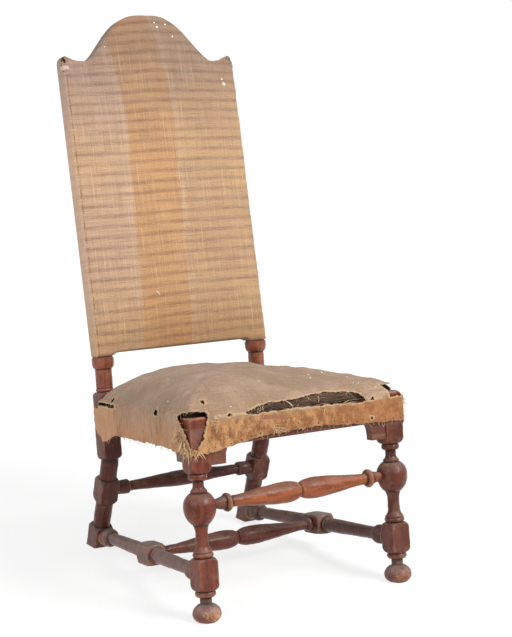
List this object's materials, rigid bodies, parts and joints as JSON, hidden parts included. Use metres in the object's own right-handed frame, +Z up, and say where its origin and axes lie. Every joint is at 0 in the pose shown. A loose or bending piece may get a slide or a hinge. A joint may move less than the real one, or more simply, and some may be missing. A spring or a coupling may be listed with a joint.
{
  "type": "upholstered side chair",
  "caption": "High-backed side chair with turned front legs and stretchers, an arched upholstered back and a worn stuffed seat, leaning back on cut-down rear legs.",
  "frame": {"origin": "floor level, under the middle of the bounding box", "axes": "+Z up, the sitter faces -Y, +X is on the right of someone looking at the front"},
  "size_m": [0.5074, 0.7228, 1.1718],
  "materials": {
    "turned_wood": "old worn varnish, dusty low down",
    "peg_wood": "old worn varnish",
    "webbing": "coarse linen webbing",
    "sackcloth": "coarse open linen",
    "stuffing": "matted grass and hair",
    "edge_roll": "dark bundled grass",
    "seat_cloth": "worn linen, torn",
    "back_cloth": "worn striped linen and wool",
    "outer_back_cloth": "plain linen"
  },
  "bodies": {
    "root": {"front_leg_left": "turned_wood", "front_leg_right": "turned_wood", "rear_post_left": "turned_wood", "rear_post_right": "turned_wood", "front_seat_rail": "turned_wood", "rear_seat_rail": "turned_wood", "side_seat_rail_left": "turned_wood", "side_seat_rail_right": "turned_wood", "crest_rail": "turned_wood", "lower_back_rail": "turned_wood", "front_stretcher": "turned_wood", "rear_stretcher": "turned_wood", "medial_stretcher": "turned_wood", "side_stretcher_left": "turned_wood", "side_stretcher_right": "turned_wood", "front_bracket_left": "turned_wood", "front_bracket_right": "turned_wood", "side_bracket_left": "turned_wood", "side_bracket_right": "turned_wood", "peg_front_rail_left": "peg_wood", "peg_front_rail_right": "peg_wood", "peg_side_rail_front_left": "peg_wood", "peg_side_rail_front_right": "peg_wood", "peg_rear_rail_left": "peg_wood", "peg_rear_rail_right": "peg_wood", "peg_side_rail_rear_left": "peg_wood", "peg_side_rail_rear_right": "peg_wood", "peg_lower_back_left": "peg_wood", "peg_lower_back_right": "peg_wood", "peg_crest_left": "peg_wood", "peg_crest_right": "peg_wood", "seat_web_long_1": "webbing", "seat_web_long_2": "webbing", "seat_web_long_3": "webbing", "seat_web_cross_1": "webbing", "seat_web_cross_2": "webbing", "seat_web_cross_3": "webbing", "seat_sackcloth": "sackcloth", "back_sackcloth": "sackcloth", "seat_stuffing": "stuffing", "back_stuffing": "stuffing", "seat_edge_roll": "edge_roll", "seat_cover": "seat_cloth", "seat_tab_left": "seat_cloth", "seat_tab_right": "seat_cloth", "back_cover": "back_cloth", "back_outer_cover": "outer_back_cloth"}
  },
  "joints": []
}
